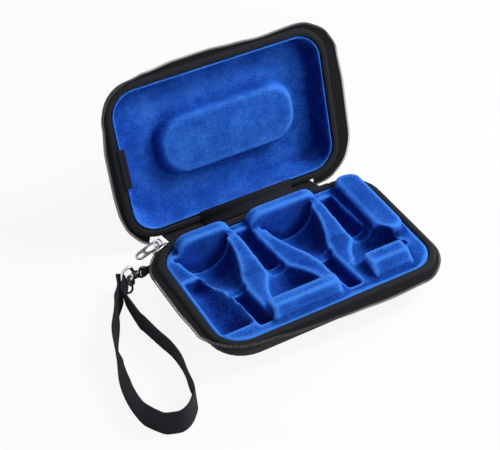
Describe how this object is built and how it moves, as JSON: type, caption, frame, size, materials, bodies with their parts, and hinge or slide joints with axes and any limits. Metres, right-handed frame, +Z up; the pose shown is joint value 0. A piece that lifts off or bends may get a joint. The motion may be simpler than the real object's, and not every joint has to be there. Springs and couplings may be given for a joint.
{
  "type": "mouthpiece case",
  "caption": "Zipped hard-shell case with a hinged lid, a moulded velvet tray for brass mouthpieces, a padded lid and a clip-on wrist strap.",
  "frame": {"origin": "middle of the flat underside of the base, on the table", "axes": "+Z up, +X along the hinge to the right, +Y from the front of the base to the hinge"},
  "size_m": [0.2792, 0.2379, 0.1412],
  "materials": {
    "shell_fabric": "black woven cover over a moulded shell",
    "blue_velvet": "bright blue flocked velvet",
    "binding": "charcoal woven piping",
    "zip_cloth": "black zip tape",
    "zip_nylon": "black nylon coil",
    "black_nickel": "black nickel",
    "pewter": "antique pewter",
    "webbing": "dark woven webbing"
  },
  "bodies": {
    "base": {"base_shell": "shell_fabric", "base_tray": "blue_velvet", "base_binding": "binding", "base_zip_tape": "zip_cloth", "base_zip_teeth": "zip_nylon", "zip_bottom_stop": "black_nickel", "zip_end_stop_base": "black_nickel", "hinge_spine_base": "shell_fabric", "strap_tab": "webbing"},
    "lid": {"lid_shell": "shell_fabric", "lid_liner": "blue_velvet", "lid_binding": "binding", "hinge_spine_lid": "shell_fabric", "hinge_strip": "webbing", "lid_zip_tape": "zip_cloth", "lid_zip_teeth": "zip_nylon", "zip_end_stop_lid": "black_nickel", "label_tag": "webbing"},
    "slider": {"zip_slider": "black_nickel"},
    "pull": {"zip_pull": "pewter"},
    "eye": {"hook_eye": "black_nickel"},
    "hook": {"hook_body": "black_nickel", "hook_rivet": "black_nickel"},
    "gate": {"hook_gate": "pewter"},
    "strap": {"wrist_strap": "webbing"}
  },
  "joints": [
    {"name": "lid_hinge", "type": "hinge", "parent": "base", "child": "lid", "pos_m": [0, 0.0706, 0.0151], "axis": [1, 0, 0], "range_deg": [0, 108.8]},
    {"name": "slider_turn", "type": "hinge", "parent": "base", "child": "slider", "pos_m": [-0.0715, 0.0345, 0.02019], "axis": [0, 0, 1], "range_deg": [0, 8]},
    {"name": "pull_swing", "type": "hinge", "parent": "slider", "child": "pull", "pos_m": [-0.08576, 0.06893, 0.02439], "axis": [-0.0851, 0.9795, -0.1825], "range_deg": [0, 70]},
    {"name": "hook_swing", "type": "hinge", "parent": "base", "child": "eye", "pos_m": [-0.105, 0.0553, 0.0145], "axis": [0, 0, 1], "range_deg": [-40, 7]},
    {"name": "hook_swivel", "type": "hinge", "parent": "eye", "child": "hook", "pos_m": [-0.1125, 0.0553, 0.0145], "axis": [-1, 0, 0], "continuous": true},
    {"name": "hook_gate", "type": "hinge", "parent": "hook", "child": "gate", "pos_m": [-0.1172, 0.0548, 0.01363], "axis": [0, -0.866, 0.5], "range_deg": [0, 25], "stiffness_Nm_per_rad": 0.02},
    {"name": "strap_swing", "type": "hinge", "parent": "hook", "child": "strap", "pos_m": [-0.1241, 0.0553, 0.0145], "axis": [0, 0.5, 0.866], "range_deg": [-5, 5]}
  ]
}
